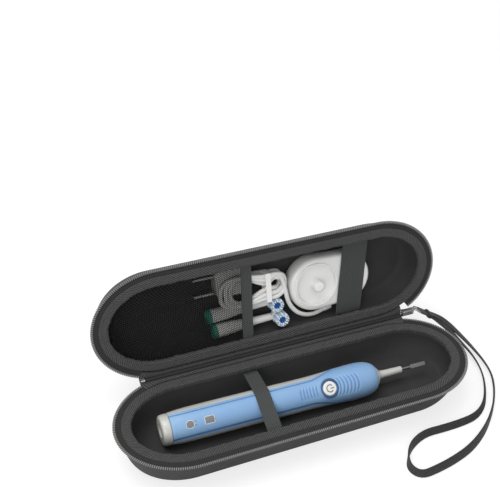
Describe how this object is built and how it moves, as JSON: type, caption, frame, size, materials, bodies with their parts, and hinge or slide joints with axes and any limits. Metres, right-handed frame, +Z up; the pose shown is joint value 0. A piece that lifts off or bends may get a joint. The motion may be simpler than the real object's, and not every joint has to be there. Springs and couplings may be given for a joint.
{
  "type": "electric toothbrush travel case",
  "caption": "Zip-up hard travel case, open, packed with an electric toothbrush handle, its charger with tied lead and two spare brush heads; wrist strap on the zip pull.",
  "frame": {"origin": "middle of the flat under the case's base half, on the surface it stands on", "axes": "+X along the case towards the zip pull, +Y towards the hinge line and the open lid, +Z up"},
  "size_m": [0.2926, 0.1701, 0.1028],
  "materials": {
    "case_shell": "moulded semi-rigid shell, satin black",
    "lining": "smooth knit lining, charcoal",
    "binding": "woven twill nylon",
    "zip_tape": "woven zip tape",
    "zip_coil": "light nylon coil",
    "elastic": "ribbed elastic webbing",
    "mesh": "fine warp-knit net",
    "webbing": "herringbone webbing",
    "zip_metal": "bright nickel",
    "knob": "moulded rubber",
    "handle_white": "satin off-white",
    "handle_blue": "soft-touch light blue",
    "moat": "soft dark-blue seal",
    "button_white": "gloss white",
    "window": "translucent light pipe",
    "light_red": "translucent red light pipe",
    "steel": "brushed stainless",
    "seal": "silicone",
    "board": "glass-fibre board",
    "winding": "enamelled copper wire",
    "charger_white": "gloss white",
    "ferrite": "sintered ferrite rod",
    "cord_white": "white flexible PVC",
    "tie_white": "white plastic tie",
    "blade": "nickel-plated brass",
    "head_white": "gloss white",
    "ring_green": "teal colour ring",
    "bristle": "nylon bristles, blue centre"
  },
  "bodies": {
    "base": {"base_shell": "case_shell", "base_lining": "lining", "base_binding": "binding", "base_zip_tape": "zip_tape", "base_zip_coil": "zip_coil", "base_strap": "elastic", "spine_base": "binding", "zip_stop": "zip_metal", "zip_slider": "zip_metal", "wrist_strap": "webbing"},
    "lid": {"lid_shell": "case_shell", "lid_lining": "lining", "lid_binding": "binding", "lid_zip_tape": "zip_tape", "lid_zip_coil": "zip_coil", "lid_band": "elastic", "mesh_pocket": "mesh", "pocket_edge": "elastic", "spine_lid": "binding", "charger_housing": "charger_white", "charger_base": "charger_white", "charger_coil": "winding", "charger_core": "ferrite", "lead_gland": "cord_white", "charger_lead": "cord_white", "lead_hank": "cord_white", "lead_tie": "tie_white", "plug_body": "charger_white", "plug_blades": "blade", "head1_sleeve": "head_white", "head1_colour_ring": "ring_green", "head2_sleeve": "head_white", "head2_colour_ring": "ring_green"},
    "brush_disc_1": {"head1_disc": "head_white", "head1_bristles": "bristle"},
    "brush_disc_2": {"head2_disc": "head_white", "head2_bristles": "bristle"},
    "handle": {"handle_housing": "handle_white", "handle_panel": "handle_blue", "end_cap": "handle_white", "charge_window": "window", "battery_window": "window", "pressure_light": "light_red", "button_seal": "moat", "neck_collar": "handle_white", "shaft_seal": "seal", "cell": "steel", "motor": "steel", "circuit_board": "board", "switch": "board", "charge_coil": "winding"},
    "drive_shaft": {"drive_shaft": "steel", "drive_link": "steel"},
    "power_button": {"power_button": "button_white"},
    "pull_tab": {"pull_tab": "webbing", "pull_bail": "zip_metal", "pull_knob": "knob"}
  },
  "joints": [
    {"name": "lid_hinge", "type": "hinge", "parent": "base", "child": "lid", "pos_m": [0, 0.0394, 0.028], "axis": [1, 0, 0], "range_deg": [-3, 110.4]},
    {"name": "handle_slide", "type": "slide", "parent": "base", "child": "handle", "axis": [0.9998, -0.0209, 0], "range_m": [-0.01, 0.01]},
    {"name": "power_press", "type": "slide", "parent": "handle", "child": "power_button", "axis": [0.0135, 0.6426, -0.766], "range_m": [0, 0.0008], "stiffness_N_per_m": 500, "springref_m": -0.0005},
    {"name": "drive_turn", "type": "hinge", "parent": "handle", "child": "drive_shaft", "pos_m": [0.04977, 0.00176, 0.0141], "axis": [0.9998, -0.0209, 0], "range_deg": [-22, 22]},
    {"name": "brush_turn_1", "type": "hinge", "parent": "lid", "child": "brush_disc_1", "pos_m": [0.0055, 0.06519, 0.04914], "axis": [0, 0.9373, -0.3486], "range_deg": [-22, 22]},
    {"name": "brush_turn_2", "type": "hinge", "parent": "lid", "child": "brush_disc_2", "pos_m": [0.0082, 0.05949, 0.03899], "axis": [0, 0.9373, -0.3486], "range_deg": [-22, 22]},
    {"name": "pull_swing", "type": "hinge", "parent": "base", "child": "pull_tab", "pos_m": [0.1149, 0.0394, 0.0324], "axis": [0, 1, 0], "range_deg": [-76, 44]}
  ]
}
